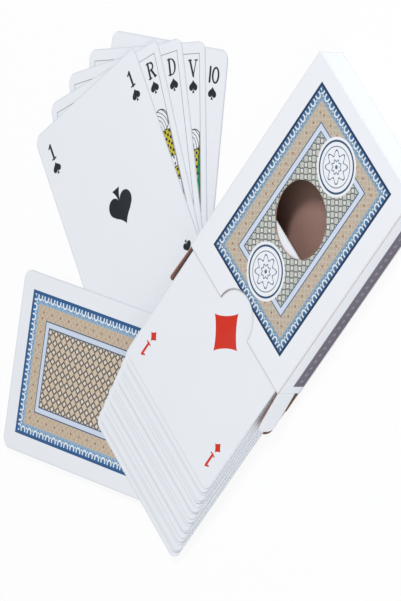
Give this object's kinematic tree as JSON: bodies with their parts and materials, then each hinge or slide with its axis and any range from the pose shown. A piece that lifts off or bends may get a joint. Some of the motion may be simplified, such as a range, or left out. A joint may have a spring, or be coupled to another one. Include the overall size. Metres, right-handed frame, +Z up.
{
  "type": "playing card deck",
  "caption": "Flat tuck box with a round window and thumb notch, its cards sliding out as a staircase, beside a fan of spades and one card lying back up.",
  "frame": {"origin": "middle of the back panel's underside, on the table", "axes": "+X from the box's open mouth to its closed end, +Y to the side where the fan lies, +Z up"},
  "size_m": [0.22, 0.1624, 0.0096],
  "materials": {
    "printed_board": "white board with a blue and cream printed lace and lattice pattern, thin gloss varnish outside and bare brown inside",
    "bare_board": "bare brown board, matt",
    "card_face": "smooth white card with printed pips and corner marks, slight sheen",
    "card_back": "white card with a printed blue lace border, tan band and brown lozenge lattice, slight sheen",
    "card_stock": "smooth white card, slight sheen"
  },
  "bodies": {
    "box": {"front_panel": "printed_board", "back_panel": "printed_board", "left_side_panel": "printed_board", "right_side_panel": "printed_board", "glue_strip": "bare_board", "end_panel": "printed_board", "end_tongue": "bare_board", "end_flap_left": "bare_board", "end_flap_right": "bare_board"},
    "lid": {"lid_panel": "printed_board"},
    "tongue": {"tuck_tongue": "printed_board"},
    "left_flap": {"dust_flap_left": "printed_board"},
    "right_flap": {"dust_flap_right": "printed_board"},
    "turned": {"turned_card": "card_back"},
    "ten_spade": {"ten_of_spades": "card_face"},
    "jack_spade": {"jack_of_spades": "card_face"},
    "queen_spade": {"queen_of_spades": "card_face"},
    "king_spade": {"king_of_spades": "card_face"},
    "ace_spade": {"ace_of_spades": "card_face"},
    "stack_01": {"stack_card_01": "card_stock"},
    "stack_02": {"stack_card_02": "card_stock"},
    "stack_03": {"stack_card_03": "card_stock"},
    "stack_04": {"stack_card_04": "card_stock"},
    "stack_05": {"stack_card_05": "card_stock"},
    "stack_06": {"stack_card_06": "card_stock"},
    "stack_07": {"stack_card_07": "card_stock"},
    "stack_08": {"stack_card_08": "card_stock"},
    "stack_09": {"stack_card_09": "card_stock"},
    "stack_10": {"stack_card_10": "card_stock"},
    "stack_11": {"stack_card_11": "card_stock"},
    "stack_12": {"stack_card_12": "card_stock"},
    "stack_13": {"stack_card_13": "card_stock"},
    "stack_14": {"stack_card_14": "card_stock"},
    "stack_15": {"stack_card_15": "card_stock"},
    "stack_16": {"stack_card_16": "card_stock"},
    "stack_17": {"stack_card_17": "card_stock"},
    "stack_18": {"stack_card_18": "card_stock"},
    "stack_19": {"stack_card_19": "card_stock"},
    "stack_20": {"stack_card_20": "card_stock"},
    "stack_21": {"stack_card_21": "card_stock"},
    "stack_22": {"stack_card_22": "card_stock"},
    "stack_23": {"stack_card_23": "card_stock"},
    "stack_24": {"stack_card_24": "card_stock"},
    "stack_25": {"stack_card_25": "card_stock"},
    "diamond_ace": {"ace_of_diamonds": "card_face"}
  },
  "joints": [
    {"name": "back_up_card_slide", "type": "slide", "parent": "box", "child": "turned", "axis": [0.5664, -0.8241, 0], "range_m": [-0.06, 0.008]},
    {"name": "dust_flap_left_hinge", "type": "hinge", "parent": "box", "child": "left_flap", "pos_m": [-0.04576, 0.0331, 0.0048], "axis": [0, 0, -1], "range_deg": [-2, 148]},
    {"name": "dust_flap_right_hinge", "type": "hinge", "parent": "box", "child": "right_flap", "pos_m": [-0.04576, -0.0331, 0.0048], "axis": [0, 0, 1], "range_deg": [-5, 145]},
    {"name": "fan_ten_turn", "type": "hinge", "parent": "box", "child": "ten_spade", "pos_m": [-0.0664, 0.0407, 0.00042], "axis": [0, 0, 1], "range_deg": [0, 36.8]},
    {"name": "fan_jack_turn", "type": "hinge", "parent": "box", "child": "jack_spade", "pos_m": [-0.0664, 0.0407, 0.00069], "axis": [0, 0, 1], "range_deg": [-9.2, 27.6]},
    {"name": "fan_queen_turn", "type": "hinge", "parent": "box", "child": "queen_spade", "pos_m": [-0.0664, 0.0407, 0.00096], "axis": [0, 0, 1], "range_deg": [-18.4, 18.4]},
    {"name": "fan_king_turn", "type": "hinge", "parent": "box", "child": "king_spade", "pos_m": [-0.0664, 0.0407, 0.00123], "axis": [0, 0, 1], "range_deg": [-27.6, 9.2]},
    {"name": "fan_ace_turn", "type": "hinge", "parent": "box", "child": "ace_spade", "pos_m": [-0.0664, 0.0407, 0.0015], "axis": [0, 0, 1], "range_deg": [-36.8, 0]},
    {"name": "lid_hinge", "type": "hinge", "parent": "box", "child": "lid", "pos_m": [-0.04573, 0, 0], "axis": [0, 1, 0], "range_deg": [-85, 0]},
    {"name": "lid_tongue_hinge", "type": "hinge", "parent": "lid", "child": "tongue", "pos_m": [-0.05499, 0, 0], "axis": [0, 1, 0], "range_deg": [-60, 0]},
    {"name": "stack_card_01_slide", "type": "slide", "parent": "box", "child": "stack_01", "axis": [1, 0, 0], "range_m": [-0.001, 0.0871]},
    {"name": "stack_card_02_slide", "type": "slide", "parent": "box", "child": "stack_02", "axis": [1, 0, 0], "range_m": [-0.00327, 0.08483]},
    {"name": "stack_card_03_slide", "type": "slide", "parent": "box", "child": "stack_03", "axis": [1, 0, 0], "range_m": [-0.00344, 0.08466]},
    {"name": "stack_card_04_slide", "type": "slide", "parent": "box", "child": "stack_04", "axis": [1, 0, 0], "range_m": [-0.00439, 0.08371]},
    {"name": "stack_card_05_slide", "type": "slide", "parent": "box", "child": "stack_05", "axis": [1, 0, 0], "range_m": [-0.00715, 0.08095]},
    {"name": "stack_card_06_slide", "type": "slide", "parent": "box", "child": "stack_06", "axis": [1, 0, 0], "range_m": [-0.00845, 0.07965]},
    {"name": "stack_card_07_slide", "type": "slide", "parent": "box", "child": "stack_07", "axis": [1, 0, 0], "range_m": [-0.00849, 0.07961]},
    {"name": "stack_card_08_slide", "type": "slide", "parent": "box", "child": "stack_08", "axis": [1, 0, 0], "range_m": [-0.01046, 0.07764]},
    {"name": "stack_card_09_slide", "type": "slide", "parent": "box", "child": "stack_09", "axis": [1, 0, 0], "range_m": [-0.01297, 0.07513]},
    {"name": "stack_card_10_slide", "type": "slide", "parent": "box", "child": "stack_10", "axis": [1, 0, 0], "range_m": [-0.01334, 0.07476]},
    {"name": "stack_card_11_slide", "type": "slide", "parent": "box", "child": "stack_11", "axis": [1, 0, 0], "range_m": [-0.01398, 0.07412]},
    {"name": "stack_card_12_slide", "type": "slide", "parent": "box", "child": "stack_12", "axis": [1, 0, 0], "range_m": [-0.01666, 0.07144]},
    {"name": "stack_card_13_slide", "type": "slide", "parent": "box", "child": "stack_13", "axis": [1, 0, 0], "range_m": [-0.0183, 0.0698]},
    {"name": "stack_card_14_slide", "type": "slide", "parent": "box", "child": "stack_14", "axis": [1, 0, 0], "range_m": [-0.0183, 0.0698]},
    {"name": "stack_card_15_slide", "type": "slide", "parent": "box", "child": "stack_15", "axis": [1, 0, 0], "range_m": [-0.01994, 0.06816]},
    {"name": "stack_card_16_slide", "type": "slide", "parent": "box", "child": "stack_16", "axis": [1, 0, 0], "range_m": [-0.02262, 0.06548]},
    {"name": "stack_card_17_slide", "type": "slide", "parent": "box", "child": "stack_17", "axis": [1, 0, 0], "range_m": [-0.02326, 0.06484]},
    {"name": "stack_card_18_slide", "type": "slide", "parent": "box", "child": "stack_18", "axis": [1, 0, 0], "range_m": [-0.02363, 0.06447]},
    {"name": "stack_card_19_slide", "type": "slide", "parent": "box", "child": "stack_19", "axis": [1, 0, 0], "range_m": [-0.02614, 0.06196]},
    {"name": "stack_card_20_slide", "type": "slide", "parent": "box", "child": "stack_20", "axis": [1, 0, 0], "range_m": [-0.02811, 0.05999]},
    {"name": "stack_card_21_slide", "type": "slide", "parent": "box", "child": "stack_21", "axis": [1, 0, 0], "range_m": [-0.02815, 0.05995]},
    {"name": "stack_card_22_slide", "type": "slide", "parent": "box", "child": "stack_22", "axis": [1, 0, 0], "range_m": [-0.02945, 0.05865]},
    {"name": "stack_card_23_slide", "type": "slide", "parent": "box", "child": "stack_23", "axis": [1, 0, 0], "range_m": [-0.03221, 0.05589]},
    {"name": "stack_card_24_slide", "type": "slide", "parent": "box", "child": "stack_24", "axis": [1, 0, 0], "range_m": [-0.03316, 0.05494]},
    {"name": "stack_card_25_slide", "type": "slide", "parent": "box", "child": "stack_25", "axis": [1, 0, 0], "range_m": [-0.03333, 0.05477]},
    {"name": "stack_card_26_slide", "type": "slide", "parent": "box", "child": "diamond_ace", "axis": [1, 0, 0], "range_m": [-0.0356, 0.0525]}
  ]
}
